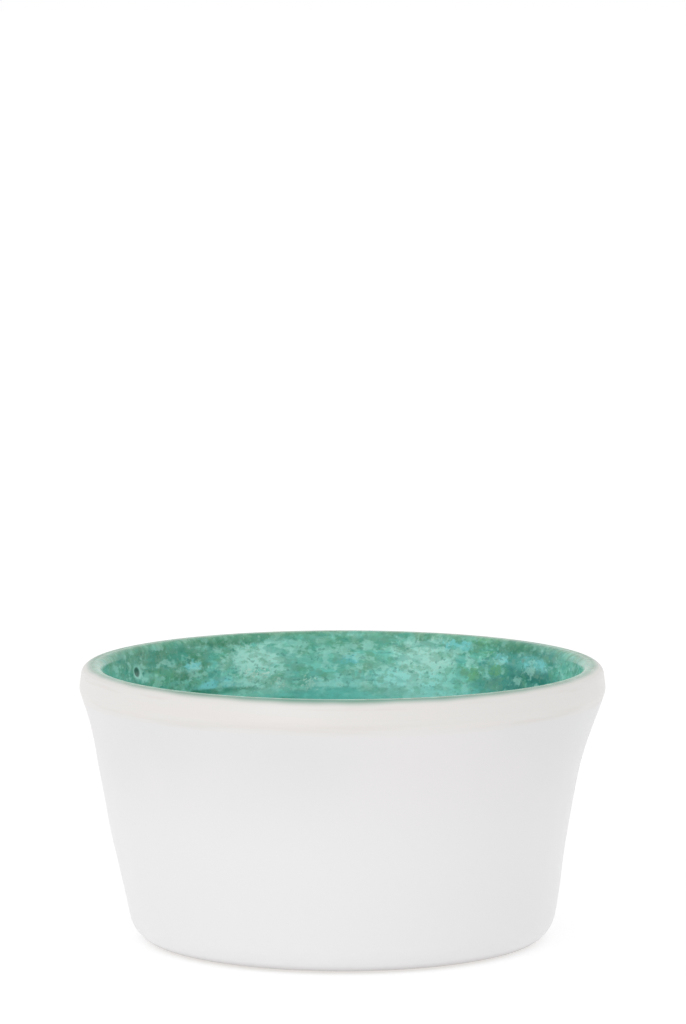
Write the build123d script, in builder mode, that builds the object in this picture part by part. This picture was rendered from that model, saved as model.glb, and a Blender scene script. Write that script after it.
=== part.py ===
from build123d import *
from math import cos, radians, sin, tan
import os

# A round ramekin for one portion: a fired clay body under four coats of glaze.
# The origin lies on the axis, in the plane that it rests on, and +Z points out of the mouth.
# All lengths are millimetres, and all angles are degrees.

# Finished ramekin, measured over the glaze
rim_diameter = 90.0
height = 47.0

# Coats of glaze: the foot is wiped clean below the glaze line, the round floor coat stops short
# of the floor's corner, and the inner and outer coats part on the lip, at this angle from level
glaze_thickness = 0.4
glaze_line_height = 0.5
floor_coat_margin = 1.9
parting_angle = 48.0

# Clay wall: straight with some draft, then bent outwards over the flare up to the lip
wall_thickness = 3.0
wall_draft = 10.2
flare_height = 14.9
mouth_flare = 0.65
heel_radius = 5.2

# Clay lip: a roll that stands out past the line of the wall and leans back in towards its top
lip_overhang = 1.5
lip_depth = 3.7
lip_lean = 8.0
lip_radius = 1.2
lip_under_radius = 2.6

# Clay floor, and under it the recess inside the ring that the ramekin stands on
floor_thickness = 3.0
floor_corner_radius = 6.4
foot_ring_width = 3.0
recess_depth = 1.6
recess_draft = 27.0

# Heights and slopes of the clay
clay_height = height - glaze_thickness
lip_height = clay_height - lip_depth
bend_height = lip_height - flare_height
floor_top = recess_depth + floor_thickness
wall_slope = tan(radians(wall_draft))
wall_across = wall_thickness / cos(radians(wall_draft))

# Radii of the clay, from the lip down to the foot
clay_rim_radius = rim_diameter / 2 - glaze_thickness
lip_top_radius = clay_rim_radius - lip_depth * tan(radians(lip_lean))
heel_corner_radius = clay_rim_radius - lip_overhang - lip_height * wall_slope
mouth_radius = heel_corner_radius + clay_height * wall_slope - wall_across + mouth_flare
foot_radius = heel_corner_radius - heel_radius * tan(radians(90 - wall_draft) / 2)
recess_mouth_radius = foot_radius - foot_ring_width

# Corners of the clay's half section, before they are rounded
floor_corner = (heel_corner_radius + floor_top * wall_slope - wall_across, floor_top)
inner_bend = (heel_corner_radius + bend_height * wall_slope - wall_across, bend_height)
inner_lip = (mouth_radius, clay_height)
outer_lip = (lip_top_radius, clay_height)
lip_under = (clay_rim_radius, lip_height)
outer_bend = (heel_corner_radius + bend_height * wall_slope, bend_height)
heel = (heel_corner_radius, 0)
foot_edge = (recess_mouth_radius, 0)
recess_corner = (recess_mouth_radius - recess_depth * tan(radians(recess_draft)), recess_depth)

with BuildSketch(Plane.XZ) as clay_section:
    with BuildLine():
        Polyline((0, recess_depth), (0, floor_top), floor_corner, inner_bend)
        TangentArc(inner_bend, inner_lip, tangent=(wall_slope, 1))
        Polyline(inner_lip, outer_lip, lip_under)
        TangentArc(outer_bend, lip_under, tangent=(wall_slope, 1))
        Polyline(outer_bend, heel, foot_edge, recess_corner, (0, recess_depth))
    make_face()
    for corner, corner_radius in (
        (floor_corner, floor_corner_radius),
        (inner_lip, lip_radius),
        (outer_lip, lip_radius),
        (lip_under, lip_under_radius),
        (heel, heel_radius),
    ):
        fillet(clay_section.vertices().sort_by_distance(corner)[0], corner_radius)

# The glaze follows the clay at one thickness, down to the glaze line
with BuildSketch(Plane.XZ) as glaze_section:
    add(clay_section.sketch_local)
    offset(amount=glaze_thickness)
    add(clay_section.sketch_local, mode=Mode.SUBTRACT)
    with Locations((0, glaze_line_height)):
        Rectangle(rim_diameter, height, align=Align.MIN, mode=Mode.INTERSECT)

# The floor coat is a round of its own, cut straight down at its edge
with BuildSketch(Plane.XZ) as floor_reach:
    with Locations((0, floor_top)):
        Rectangle(floor_corner[0] - floor_coat_margin, height, align=Align.MIN)

# The foot coat lies in the recess, under the middle of the floor
with BuildSketch(Plane.XZ) as foot_reach:
    Rectangle(recess_mouth_radius, recess_depth + floor_thickness / 2, align=Align.MIN)

# The outer coat lies outside the middle of the wall, up to a ray from the middle of the lip
lip_middle = Vector((mouth_radius + lip_top_radius) / 2, clay_height - lip_depth / 2)
parting_ray = Vector(cos(radians(parting_angle)), sin(radians(parting_angle))) * rim_diameter
with BuildSketch(Plane.XZ) as outer_reach:
    with BuildLine():
        Polyline(
            lip_middle,
            lip_middle + parting_ray,
            (lip_middle.X + parting_ray.X, 0),
            foot_edge,
            (heel_corner_radius + heel_radius * wall_slope - wall_across / 2, heel_radius),
            (outer_bend[0] - wall_across / 2, bend_height),
            close=True,
        )
    make_face()

with BuildPart() as stoneware_body:
    with BuildSketch(Plane.XZ):
        add(clay_section.sketch_local)
    revolve(axis=Axis.Z)
stoneware_body.part.label = "stoneware_body"

# The coloured coat runs up the inside of the wall and over the lip
with BuildPart() as wall_glaze:
    with BuildSketch(Plane.XZ):
        add(glaze_section.sketch_local)
        for reach in (floor_reach, foot_reach, outer_reach):
            add(reach.sketch_local, mode=Mode.SUBTRACT)
    revolve(axis=Axis.Z)
wall_glaze.part.label = "wall_glaze"

with BuildPart() as floor_glaze:
    with BuildSketch(Plane.XZ):
        add(glaze_section.sketch_local)
        add(floor_reach.sketch_local, mode=Mode.INTERSECT)
    revolve(axis=Axis.Z)
floor_glaze.part.label = "floor_glaze"

with BuildPart() as outer_glaze:
    with BuildSketch(Plane.XZ):
        add(glaze_section.sketch_local)
        add(outer_reach.sketch_local, mode=Mode.INTERSECT)
    revolve(axis=Axis.Z)
outer_glaze.part.label = "outer_glaze"

with BuildPart() as foot_glaze:
    with BuildSketch(Plane.XZ):
        add(glaze_section.sketch_local)
        add(foot_reach.sketch_local, mode=Mode.INTERSECT)
    revolve(axis=Axis.Z)
foot_glaze.part.label = "foot_glaze"

os.makedirs("parts", exist_ok=True)
export_step(stoneware_body.part, "parts/stoneware_body.step")
export_step(wall_glaze.part, "parts/wall_glaze.step")
export_step(floor_glaze.part, "parts/floor_glaze.step")
export_step(outer_glaze.part, "parts/outer_glaze.step")
export_step(foot_glaze.part, "parts/foot_glaze.step")
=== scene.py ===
from math import atan, cos, pi, radians, sin, tan

import bpy
import numpy as np
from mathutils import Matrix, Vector


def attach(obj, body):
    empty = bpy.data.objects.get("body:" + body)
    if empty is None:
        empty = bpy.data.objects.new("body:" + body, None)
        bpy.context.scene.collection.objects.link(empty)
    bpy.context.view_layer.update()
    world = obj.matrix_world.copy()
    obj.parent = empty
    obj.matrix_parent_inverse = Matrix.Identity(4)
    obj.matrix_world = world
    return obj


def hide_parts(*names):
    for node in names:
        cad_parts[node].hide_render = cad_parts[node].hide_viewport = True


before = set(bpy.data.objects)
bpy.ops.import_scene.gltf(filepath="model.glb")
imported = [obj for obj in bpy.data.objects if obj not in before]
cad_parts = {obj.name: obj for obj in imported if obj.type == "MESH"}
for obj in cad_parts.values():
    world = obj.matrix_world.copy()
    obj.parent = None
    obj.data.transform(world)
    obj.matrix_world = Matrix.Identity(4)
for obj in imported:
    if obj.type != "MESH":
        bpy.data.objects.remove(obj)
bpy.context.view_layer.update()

# A round ramekin: a fired clay body under four coats of glaze. Lengths in the shapes are metres, and
# lengths in the glaze patterns are millimetres.
MM = 0.001

# Finished ramekin, measured over the glaze
RIM_DIAMETER = 90.0 * MM
HEIGHT = 47.0 * MM

# Coats of glaze: where each ends, and how much thinner the fire leaves them than they are drawn
GLAZE_THICKNESS = 0.4 * MM
GLAZE_SHRINKAGE = 0.01 * MM
GLAZE_LINE_HEIGHT = 0.5 * MM
FLOOR_COAT_MARGIN = 1.9 * MM
PARTING_ANGLE = radians(48.0)
WIPED_EDGE = 0.7 * MM

# Clay wall and lip
WALL_THICKNESS = 3.0 * MM
WALL_DRAFT = radians(10.2)
FLARE_HEIGHT = 14.9 * MM
MOUTH_FLARE = 0.65 * MM
HEEL_RADIUS = 5.2 * MM
LIP_OVERHANG = 1.5 * MM
LIP_DEPTH = 3.7 * MM
LIP_LEAN = radians(8.0)
LIP_RADIUS = 1.2 * MM
LIP_UNDER_RADIUS = 2.6 * MM

# Clay floor, foot ring and recess
FLOOR_THICKNESS = 3.0 * MM
FLOOR_CORNER_RADIUS = 6.4 * MM
FOOT_RING_WIDTH = 3.0 * MM
FOOT_EDGE_RADIUS = 0.4 * MM
RECESS_DEPTH = 1.6 * MM
RECESS_DRAFT = radians(27.0)
RECESS_CORNER_RADIUS = 0.9 * MM

# The hand-turned wall lies a little towards -X, between its foot and its lip
WALL_LEAN = 0.6 * MM
LEAN_STARTS, LEAN_IS_FULL = 4 * MM, 20 * MM
LEAN_EASES, LEAN_ENDS = 28 * MM, 41 * MM

# Steps of the meshes: points round each ring, the section's own fine step, and the length and the turn
# that space the rings
SEGMENTS = 384
FINE_STEP = 0.012 * MM
PACE = 0.4 * MM
TURN_PACE = radians(7.0)
SHARP_ANGLE = radians(50)

# Rings of the clay's mesh, and of each coat's face and back
CLAY_RINGS = 200
WALL_RINGS = 200, 40
FLOOR_RINGS = 150, 30
OUTER_RINGS = 190, 40
FOOT_RINGS = 120, 30

# How far from a corner its rounding is looked for, in radii of the rounding
CORNER_REACH = 4

# Rings from the potter's fingers, inside, in two sets: pitch, share of the depth, windings in a turn,
# wander in radians, and the line that the set wanders by (waves and seed)
RING_DEPTH = 0.04 * MM
RING_SETS = (
    (2.9 * MM, 0.32, 1, 1.3, (5, 3)),
    (1.8 * MM, 0.18, 0, 2.1, (9, 8)),
)
RINGS_FADE = 1 * MM, 5 * MM

# The lap where the brushed coat's two ends meet: its azimuth from +X, and how far it runs clockwise
SEAM_AZIMUTH = radians(38.0)
SEAM_OVERLAP = radians(7.0)
SEAM_EDGE = radians(0.6)
SEAM_STEP = 0.06 * MM
SEAM_STARTS = 32 * MM, 34 * MM

# Pits in the coloured coat: azimuth, length under the crest, radius
PIT_DEPTH_SHARE = 0.35
PITS = (
    (radians(153.3), 5.7 * MM, 0.95 * MM),
    (radians(228), 4.1 * MM, 0.45 * MM),
    (radians(232), 5.4 * MM, 0.5 * MM),
)

# The groove under the lip, outside, and the slow waviness of the wall, each with the line that it
# wanders by (waves and seed)
GROOVE_DROP = 1.0 * MM
GROOVE_WANDER = 0.35 * MM
GROOVE_LINE = 7, 21
GROOVE_DEPTH = 0.06 * MM
GROOVE_WIDTH = 0.8 * MM
WAVE_PITCH = 11 * MM
WAVE_DEPTH = 0.03 * MM
WAVE_WANDER = 2
WAVE_LINE = 4, 5


def smooth(value, low, high):
    """0 below low, 1 above high, and a smooth step, 3 squares less 2 cubes, between them."""
    share = np.clip((value - low) / (high - low), 0, 1)
    return share * share * (3 - 2 * share)


def unit(vectors):
    """Each vector over its own length."""
    return vectors / np.linalg.norm(vectors, axis=-1, keepdims=True)


# The clay's half section, as runs of finely spaced points (radius, height)
def straight(start, end):
    """Points evenly spaced along the straight line from start to end."""
    start, end = np.array(start), np.array(end)
    count = max(2, int(np.linalg.norm(end - start) / FINE_STEP))
    return start + np.linspace(0, 1, count)[:, None] * (end - start)


def swept(centre, start, turn):
    """Points on the circle about centre, from start through the angle turn, counter-clockwise if
    positive: the arm to start times the cosine, plus the arm at a right angle times the sine."""
    arm = np.array(start) - centre
    count = max(3, int(abs(turn) * np.linalg.norm(arm) / FINE_STEP))
    angle = np.linspace(0, turn, count)[:, None]
    across = np.array((-arm[1], arm[0]))
    return centre + np.cos(angle) * arm + np.sin(angle) * across


def tangent_arc(start, end, direction):
    """Points on the circle that leaves start along direction and ends at end: its radius is the
    chord squared over twice the chord's reach sideways from the direction."""
    start, end = np.array(start), np.array(end)
    ahead = unit(np.array(direction))
    aside = np.array((-ahead[1], ahead[0]))
    chord = end - start
    radius = chord @ chord / (2 * chord @ aside)
    turn = 2 * np.arctan2(chord @ aside, chord @ ahead)
    return swept(start + radius * aside, start, turn)


def left_normals(points):
    """Unit normals on the left of a run of points, square to the line between each one's neighbours."""
    ahead = unit(np.gradient(points, axis=0))
    return np.column_stack((-ahead[:, 1], ahead[:, 0]))


def rounded(before, after, radius):
    """Two runs that meet at a corner, joined by an arc. The arc's centre lies where both runs, each
    moved sideways by the radius into the corner, come together."""
    first, last = before[-1] - before[-2], after[1] - after[0]
    side = np.sign(first[0] * last[1] - first[1] * last[0])
    moved_before = before + side * radius * left_normals(before)
    moved_after = after + side * radius * left_normals(after)
    reach = int(CORNER_REACH * radius / FINE_STEP)
    near_before, near_after = moved_before[-reach:], moved_after[:reach]
    gaps = np.linalg.norm(near_before[:, None] - near_after[None], axis=2)
    i, j = np.unravel_index(gaps.argmin(), gaps.shape)
    i += len(before) - len(near_before)
    centre = (moved_before[i] + moved_after[j]) / 2
    from_centre, to_centre = before[i] - centre, after[j] - centre
    cross = from_centre[0] * to_centre[1] - from_centre[1] * to_centre[0]
    turn = np.arctan2(cross, from_centre @ to_centre)
    return np.vstack((before[:i], swept(centre, before[i], turn), after[j + 1:]))


def clay_section():
    """The clay's outline: from the middle of the floor up the inside of the wall, over the lip, down
    the outside, under the foot ring and back to the axis. Then the lip's middle, and the radius at
    which the floor's coat ends."""
    clay_height = HEIGHT - GLAZE_THICKNESS
    lip_height = clay_height - LIP_DEPTH
    bend_height = lip_height - FLARE_HEIGHT
    floor_top = RECESS_DEPTH + FLOOR_THICKNESS
    slope = tan(WALL_DRAFT)
    wall_across = WALL_THICKNESS / cos(WALL_DRAFT)
    rim_radius = RIM_DIAMETER / 2 - GLAZE_THICKNESS
    lip_top_radius = rim_radius - LIP_DEPTH * tan(LIP_LEAN)
    heel_corner = rim_radius - LIP_OVERHANG - lip_height * slope
    mouth_radius = heel_corner + clay_height * slope - wall_across + MOUTH_FLARE
    foot_radius = heel_corner - HEEL_RADIUS * tan((pi / 2 - WALL_DRAFT) / 2)
    ring_inside = foot_radius - FOOT_RING_WIDTH

    floor_corner = (heel_corner + floor_top * slope - wall_across, floor_top)
    inner_bend = (heel_corner + bend_height * slope - wall_across, bend_height)
    inner_lip = (mouth_radius, clay_height)
    outer_lip = (lip_top_radius, clay_height)
    lip_under = (rim_radius, lip_height)
    outer_bend = (heel_corner + bend_height * slope, bend_height)
    heel = (heel_corner, 0)
    foot_edge = (ring_inside, 0)
    recess_corner = (ring_inside - RECESS_DEPTH * tan(RECESS_DRAFT), RECESS_DEPTH)

    inner_flare = tangent_arc(inner_bend, inner_lip, (slope, 1))
    inner_wall = np.vstack((straight(floor_corner, inner_bend), inner_flare[1:]))
    outer_flare = tangent_arc(outer_bend, lip_under, (slope, 1))[::-1]
    outer_wall = np.vstack((outer_flare, straight(outer_bend, heel)[1:]))
    outline = straight((0, floor_top), floor_corner)
    for run, radius in (
        (inner_wall, FLOOR_CORNER_RADIUS),
        (straight(inner_lip, outer_lip), LIP_RADIUS),
        (straight(outer_lip, lip_under), LIP_RADIUS),
        (outer_wall, LIP_UNDER_RADIUS),
        (straight(heel, foot_edge), HEEL_RADIUS),
        (straight(foot_edge, recess_corner), FOOT_EDGE_RADIUS),
        (straight(recess_corner, (0, RECESS_DEPTH)), RECESS_CORNER_RADIUS),
    ):
        outline = rounded(outline, run, radius)
    lip_middle = np.array(((mouth_radius + lip_top_radius) / 2, clay_height - LIP_DEPTH / 2))
    return outline, lip_middle, floor_corner[0] - FLOOR_COAT_MARGIN


clay, lip_middle, floor_coat_radius = clay_section()
clay_normals = left_normals(clay)
along = np.concatenate(((0,), np.cumsum(np.linalg.norm(np.diff(clay, axis=0), axis=1))))
heading = np.unwrap(np.arctan2(clay_normals[:, 1], clay_normals[:, 0]))
turning = np.concatenate(((0,), np.cumsum(np.abs(np.diff(heading)))))


def first_after(length, wanted):
    """The first length past a given one at which the section has what is wanted."""
    return along[(along > length) & wanted][0]


# Stations along the section, as lengths from the middle of the floor. The crest lies the lip's radius
# past the start of its flat top
ray_angle = np.arctan2(*(clay - lip_middle).T[::-1])
floor_edge = first_after(0, clay[:, 0] > floor_coat_radius)
crest = along[clay[:, 1].argmax()] + LIP_RADIUS
parting = first_after(crest, ray_angle < PARTING_ANGLE)
widest = along[clay[:, 0].argmax()]
heel_line = first_after(widest, clay[:, 1] < GLAZE_LINE_HEIGHT)
recess_line = first_after(heel_line + HEEL_RADIUS, clay[:, 1] > GLAZE_LINE_HEIGHT)
end = along[-1]


def paced(start, stop, count):
    """count stations from start to stop, closer together where the section turns."""
    measure = along / PACE + turning / TURN_PACE
    low, high = np.interp((start, stop), along, measure)
    return np.interp(np.linspace(low, high, count), measure, along)


def on_clay(stations):
    """The section's points and its normals at the stations."""
    points = np.column_stack([np.interp(stations, along, clay[:, k]) for k in (0, 1)])
    normals = np.column_stack([np.interp(stations, along, clay_normals[:, k]) for k in (0, 1)])
    return points, unit(normals)


# Meshes turned round the axis. A place on the glaze goes round a cylinder of this radius, in millimetres
azimuths = np.arange(SEGMENTS) * 2 * pi / SEGMENTS
PLACE_RADIUS = 40.0


def lean(height):
    """How far the wall lies aside at a height: the lean times a smooth step up and one down."""
    return WALL_LEAN * smooth(height, LEAN_STARTS, LEAN_IS_FULL) * smooth(-height, -LEAN_ENDS, -LEAN_EASES)


def added(name, data):
    """A new object in the scene, with its data."""
    made = bpy.data.objects.new(name, data)
    bpy.context.scene.collection.objects.link(made)
    return made


def turned(name, radius, height, stations):
    """A closed mesh whose ring i passes through (radius[i, j], height[i, j]) at azimuth j, less the lean
    in x. A section that starts on the axis ends on it too, and its two ends are single points; one
    that stays off the axis closes on itself. Each point keeps its place on the glaze in millimetres:
    round a cylinder, and along the section."""
    ring_loop = radius[0].max() > 0
    rings = slice(None) if ring_loop else slice(1, -1)
    x = radius[rings] * np.cos(azimuths) - lean(height[rings])
    y = radius[rings] * np.sin(azimuths)
    points = np.stack((x, y, height[rings]), axis=2).reshape(-1, 3)
    round_place = PLACE_RADIUS * np.stack((np.cos(azimuths), np.sin(azimuths)), axis=1)
    place = np.concatenate((
        np.broadcast_to(round_place, x.shape + (2,)),
        np.broadcast_to(stations[rings, None, None] / MM, x.shape + (1,)),
    ), axis=2).reshape(-1, 3)
    numbers = np.arange(x.size).reshape(x.shape)
    if ring_loop:
        numbers = np.vstack((numbers, numbers[:1]))
    ahead = np.roll(numbers, -1, axis=1)
    quads = np.stack((numbers[:-1], numbers[1:], ahead[1:], ahead[:-1]), axis=2)
    faces = quads.reshape(-1, 4).tolist()
    if not ring_loop:
        first, last = np.full(SEGMENTS, x.size), np.full(SEGMENTS, x.size + 1)
        points = np.vstack((points, (0, 0, height[0, 0]), (0, 0, height[-1, 0])))
        place = np.vstack((place, (0, 0, stations[0] / MM), (0, 0, stations[-1] / MM)))
        faces += np.column_stack((first, numbers[0], ahead[0])).tolist()
        faces += np.column_stack((last, ahead[-1], numbers[-1])).tolist()
    mesh = bpy.data.meshes.new(name)
    mesh.from_pydata(points, [], faces)
    kept_place = mesh.attributes.new("place", "FLOAT_VECTOR", "POINT")
    kept_place.data.foreach_set("vector", place.astype(np.float32).ravel())
    mesh.shade_smooth()
    mesh.set_sharp_from_angle(angle=SHARP_ANGLE)
    return added(name, mesh)


def coat(name, start, stop, rings, marks, wiped_edge=None):
    """A coat of glaze from one station to another. Its face stands off the clay, along the normal, by the
    glaze's thickness less its shrinkage and the marks, and its back lies on the clay. A wiped edge runs
    out in a quarter round: the thickness times the root of 1 less the square of the share that is left
    of the round's width."""
    face_rings, back_rings = rings
    face = paced(start, stop, face_rings)
    back = paced(start, stop, back_rings)[::-1]
    thickness = GLAZE_THICKNESS - GLAZE_SHRINKAGE - marks(face[:, None], azimuths[None, :])
    if wiped_edge is not None:
        share = np.clip(np.abs(face - wiped_edge) / WIPED_EDGE, 0, 1)
        thickness = thickness * np.sqrt(1 - (1 - share) ** 2)[:, None]
        back = back[back != wiped_edge]
    face_points, normals = on_clay(face)
    back_points, _ = on_clay(back)
    across = np.ones((1, SEGMENTS))
    radius = np.vstack((face_points[:, :1] + normals[:, :1] * thickness, back_points[:, :1] * across))
    height = np.vstack((face_points[:, 1:] + normals[:, 1:] * thickness, back_points[:, 1:] * across))
    stations = np.concatenate((face, back))
    if stop == end:
        radius, height, stations = (np.roll(part, len(back), axis=0) for part in (radius, height, stations))
    if start == 0 or stop == end:
        radius[[0, -1]] = 0
    return turned(name, radius, height, stations)


def wander(waves, seed):
    """A smooth closed line over the azimuth: cosines of 1 to waves periods a turn with chance phases,
    each as high as one over its count, scaled to reach 1."""
    counts = np.arange(1, waves + 1)[:, None]
    phases = np.random.default_rng(seed).uniform(0, 2 * pi, (waves, 1))
    line = (np.cos(counts * azimuths + phases) / counts).sum(0)
    return line / np.abs(line).max()


def apart(angles, azimuth):
    """The angle from an azimuth to each angle, the short way round."""
    return (angles - azimuth + pi) % (2 * pi) - pi


def inside_marks(lengths, angles):
    """Rings from the potter's fingers, for each set 1 less a cosine along the section; they die away at
    the middle of the floor and on the lip. The coat is thinner beside the lap of its two ends, and
    dips at the pits."""
    rings = 0
    for pitch, share, windings, unsteadiness, line in RING_SETS:
        phase = 2 * pi * lengths / pitch + windings * angles + unsteadiness * wander(*line)
        rings = rings + RING_DEPTH * share * (1 - np.cos(phase))
    rings = rings * smooth(lengths, *RINGS_FADE) * smooth(crest - lengths, *RINGS_FADE)
    across = apart(angles, SEAM_AZIMUTH)
    lap = smooth(across, -SEAM_OVERLAP, SEAM_EDGE - SEAM_OVERLAP) * smooth(-across, 0, SEAM_EDGE)
    beside = SEAM_STEP * (1 - lap) * smooth(lengths, *SEAM_STARTS) * smooth(crest - lengths, *RINGS_FADE)
    pits = 0
    for azimuth, drop, pit_radius in PITS:
        away = np.hypot(lengths - crest + drop, PLACE_RADIUS * MM * apart(angles, azimuth))
        pits = pits + PIT_DEPTH_SHARE * pit_radius * (1 - smooth(away, 0, pit_radius))
    return rings + beside + pits


def outside_marks(lengths, angles):
    """A faint groove just under the lip, a bell curve across a line that wanders up and down, and a slow
    waviness of the wall."""
    groove_middle = widest + GROOVE_DROP + GROOVE_WANDER * wander(*GROOVE_LINE)
    groove = GROOVE_DEPTH * np.exp(-((lengths - groove_middle) / GROOVE_WIDTH) ** 2)
    phase = 2 * pi * lengths / WAVE_PITCH + WAVE_WANDER * wander(*WAVE_LINE)
    waves = WAVE_DEPTH / 2 * (1 + np.cos(phase))
    return (groove + waves) * smooth(lengths, parting, parting + 2 * LIP_RADIUS)


def no_marks(lengths, angles):
    """An even coat."""
    return np.zeros((len(lengths), SEGMENTS))


def clay_piece(name):
    """The clay, turned from its whole section."""
    stations = paced(0, end, CLAY_RINGS)
    points, _ = on_clay(stations)
    across = np.ones((1, SEGMENTS))
    return turned(name, points[:, :1] * across, points[:, 1:] * across, stations)


# Node helpers
FLOAT, COLOUR, VECTOR = "NodeSocketFloat", "NodeSocketColor", "NodeSocketVector"

# The Mix node's sockets for colours
MIX_GROUND, MIX_COLOUR, MIX_RESULT = 6, 7, 2

# The display curve of a colour: a straight toe, and a power above it
TOE_END, TOE_SLOPE = 0.04045, 12.92
CURVE_SHIFT, CURVE_POWER = 0.055, 2.4


def feed(tree, node, inputs):
    """Gives a node its inputs, by name or number, each a value or another node's output."""
    for key, value in inputs.items():
        if isinstance(value, bpy.types.NodeSocket):
            tree.links.new(value, node.inputs[key])
        else:
            node.inputs[key].default_value = value


def put(tree, kind, inputs=(), **settings):
    """Adds a node with its inputs and settings."""
    made = tree.nodes.new(kind)
    for name, value in settings.items():
        setattr(made, name, value)
    feed(tree, made, dict(inputs))
    return made


def worked(tree, operation, *values):
    """The output of one Math node."""
    return put(tree, "ShaderNodeMath", dict(enumerate(values)), operation=operation).outputs[0]


def moved(tree, operation, *values):
    """The vector output of one Vector Math node."""
    return put(tree, "ShaderNodeVectorMath", dict(enumerate(values)), operation=operation).outputs[0]


def measured(tree, operation, *values):
    """The number that one Vector Math node puts out."""
    return moved(tree, operation, *values).node.outputs["Value"]


def eased(tree, value, low, high):
    """0 at low and 1 at high, with a smooth step between them; low may be the greater."""
    return put(tree, "ShaderNodeMapRange", {"Value": value, "From Min": low, "From Max": high},
               interpolation_type="SMOOTHSTEP").outputs[0]


def mixed(tree, share, ground, colour):
    """The ground with a share of a colour laid over it."""
    inputs = {"Factor": share, MIX_GROUND: ground, MIX_COLOUR: colour}
    return put(tree, "ShaderNodeMix", inputs, data_type="RGBA").outputs[MIX_RESULT]


def noise(tree, vector, scale, detail, grain=0.5):
    """A Noise texture's value."""
    inputs = {"Vector": vector, "Scale": scale, "Detail": detail, "Roughness": grain}
    return put(tree, "ShaderNodeTexNoise", inputs).outputs["Fac"]


def uneven(tree, place, size, detail, gain, shift):
    """Noise whose grains have a size along each axis, times a gain, plus a shift."""
    value = noise(tree, moved(tree, "DIVIDE", place, size), 1.0, detail)
    return worked(tree, "MULTIPLY_ADD", value, gain, shift)


def zone(tree, length, rises, full, eases, ends):
    """A mask that comes up between the first two lengths and goes down between the last two."""
    return worked(tree, "MULTIPLY", eased(tree, length, rises, full), eased(tree, length, ends, eases))


def zones(tree, length, named):
    """The mask of each named zone."""
    return {name: zone(tree, length, *lengths) for name, lengths in named.items()}


def ramp(tree, value, stops):
    """A colour ramp with stops (value, red, green, blue), in rising order."""
    low, high = stops[0][0], stops[-1][0]
    share = put(tree, "ShaderNodeMapRange", {"Value": value, "From Min": low, "From Max": high}).outputs[0]
    made = put(tree, "ShaderNodeValToRGB", {0: share})
    elements = made.color_ramp.elements
    while len(elements) < len(stops):
        elements.new(0.5)
    for element, (where, *colour) in zip(elements, stops):
        element.position = (where - low) / (high - low)
        element.color = paint(*colour)
    return made.outputs["Color"]


def paint(red, green, blue):
    """A colour named by its 0 to 255 display values, as linear light."""
    share = np.array((red, green, blue)) / 255
    above = ((share + CURVE_SHIFT) / (1 + CURVE_SHIFT)) ** CURVE_POWER
    linear = np.where(share <= TOE_END, share / TOE_SLOPE, above)
    return (*linear.tolist(), 1.0)


# Effects that several glazes share, each a node group that lays one colour over a ground
BRUSH_DETAIL = 3.0
FADING_NOISE = 0.15, 1.0


def new_group(name, *own):
    """A group's tree and its input sockets: the place and the ground, its own ones (name, kind), and
    the strength and the colour. Its output is the colour of the result."""
    group = bpy.data.node_groups.new(name, "ShaderNodeTree")
    below = ("Place", VECTOR), ("Ground", COLOUR)
    above = ("Strength", FLOAT), ("Colour", COLOUR)
    for label, kind in (*below, *own, *above):
        group.interface.new_socket(label, in_out="INPUT", socket_type=kind)
    group.interface.new_socket("Colour", in_out="OUTPUT", socket_type=COLOUR)
    return group, group.nodes.new("NodeGroupInput").outputs


def end_group(group, given, mask):
    """Lays the group's colour over its ground by the mask times the strength."""
    mask = worked(group, "MULTIPLY", mask, given["Strength"])
    result = mixed(group, mask, given["Ground"], given["Colour"])
    put(group, "NodeGroupOutput", {"Colour": result})
    return group


def brushed_group():
    """One brushed layer: noise stretched to a length round the pot and a width along the section, cut
    between two levels into a mask."""
    group, given = new_group(
        "brushed layer", ("Length", FLOAT), ("Width", FLOAT), ("Shift", FLOAT), ("From", FLOAT),
        ("To", FLOAT), ("Grain", FLOAT))
    size = put(group, "ShaderNodeCombineXYZ", {
        "X": given["Length"], "Y": given["Length"], "Z": given["Width"]}).outputs[0]
    shift = put(group, "ShaderNodeCombineXYZ", {"X": given["Shift"], "Y": given["Shift"]}).outputs[0]
    spot = moved(group, "ADD", moved(group, "DIVIDE", given["Place"], size), shift)
    cloud = noise(group, spot, 1.0, BRUSH_DETAIL, given["Grain"])
    return end_group(group, given, eased(group, cloud, given["From"], given["To"]))


def wash_group():
    """One wash: the way to its centre, each part over its own half size, as a distance plus a ragged
    noise, made a mask that goes out round 1 over a softness."""
    group, given = new_group(
        "wash", ("Centre", VECTOR), ("Half Size", VECTOR), ("Ragged", FLOAT), ("Soft", FLOAT))
    away = moved(group, "SUBTRACT", given["Place"], given["Centre"])
    far = measured(group, "LENGTH", moved(group, "DIVIDE", away, given["Half Size"]))
    far = worked(group, "ADD", far, given["Ragged"])
    outer = worked(group, "ADD", 1.0, given["Soft"])
    inner = worked(group, "SUBTRACT", 1.0, given["Soft"])
    return end_group(group, given, eased(group, far, outer, inner))


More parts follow.
